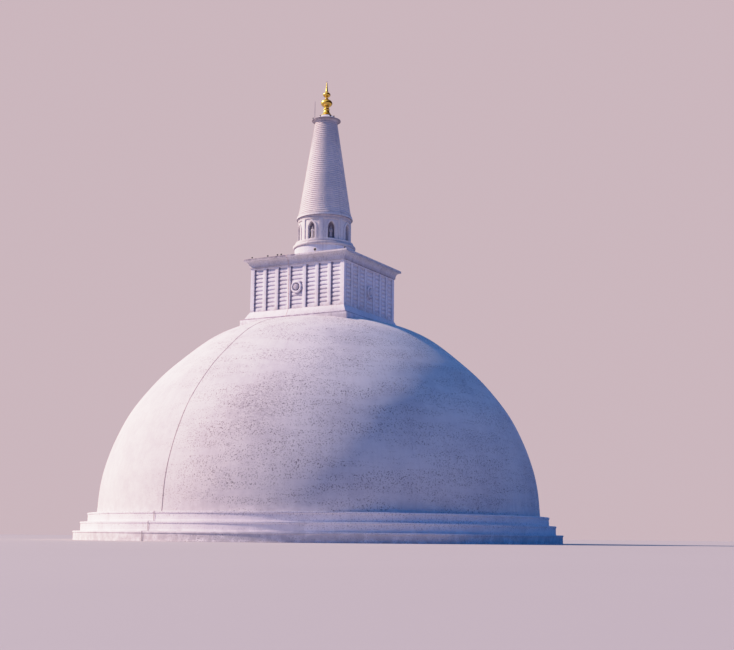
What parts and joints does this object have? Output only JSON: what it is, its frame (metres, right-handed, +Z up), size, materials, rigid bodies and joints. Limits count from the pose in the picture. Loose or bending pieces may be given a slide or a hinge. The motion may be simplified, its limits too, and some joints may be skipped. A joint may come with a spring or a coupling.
{
  "type": "stupa, 1:10 scale model",
  "caption": "White domed stupa on round terraces, with a railed square chamber, a drum with statue niches, a ringed conical spire and a gilt finial.",
  "frame": {"origin": "on the ground, on the axis through the finial", "axes": "+Z up along the axis of the dome and spire, front face of the chamber towards -Y, right face towards +X"},
  "size_m": [10.24, 10.24, 10.3],
  "materials": {
    "limewash": "matt lime-washed plaster over brick, stained in places",
    "gilt": "polished gilding",
    "rock_crystal": "clear polished crystal",
    "conductor": "weathered metal tape, partly lime-washed",
    "lamp_metal": "dark satin paint"
  },
  "bodies": {
    "root": {"back_bars": "limewash", "back_emblem": "limewash", "back_posts": "limewash", "chamber_core": "limewash", "chamber_cornice": "limewash", "chamber_plinth": "limewash", "chamber_roof": "limewash", "chamber_splay": "limewash", "chamber_tape": "conductor", "crown_cap": "limewash", "crown_lamp_1": "lamp_metal", "crown_lamp_2": "lamp_metal", "crown_lamp_3": "lamp_metal", "crown_lamp_4": "lamp_metal", "dome": "limewash", "dome_tape": "conductor", "drum_base": "limewash", "drum_mouldings": "limewash", "drum_wall": "limewash", "finial_bell": "gilt", "finial_bulb": "gilt", "finial_crystal": "rock_crystal", "finial_spike": "gilt", "front_bars": "limewash", "front_emblem": "limewash", "front_posts": "limewash", "left_bars": "limewash", "left_emblem": "limewash", "left_posts": "limewash", "lightning_rod": "conductor", "lower_terrace": "limewash", "middle_terrace": "limewash", "niche_figure_1": "limewash", "niche_figure_2": "limewash", "niche_figure_3": "limewash", "niche_figure_4": "limewash", "niche_figure_5": "limewash", "niche_figure_6": "limewash", "niche_figure_7": "limewash", "niche_figure_8": "limewash", "right_bars": "limewash", "right_emblem": "limewash", "right_posts": "limewash", "roof_lamp_1": "lamp_metal", "roof_lamp_2": "lamp_metal", "roof_lamp_3": "lamp_metal", "roof_lamp_4": "lamp_metal", "roof_lamp_5": "lamp_metal", "roof_lamp_6": "lamp_metal", "spire": "limewash", "spire_lip": "limewash", "upper_terrace": "limewash"}
  },
  "joints": []
}
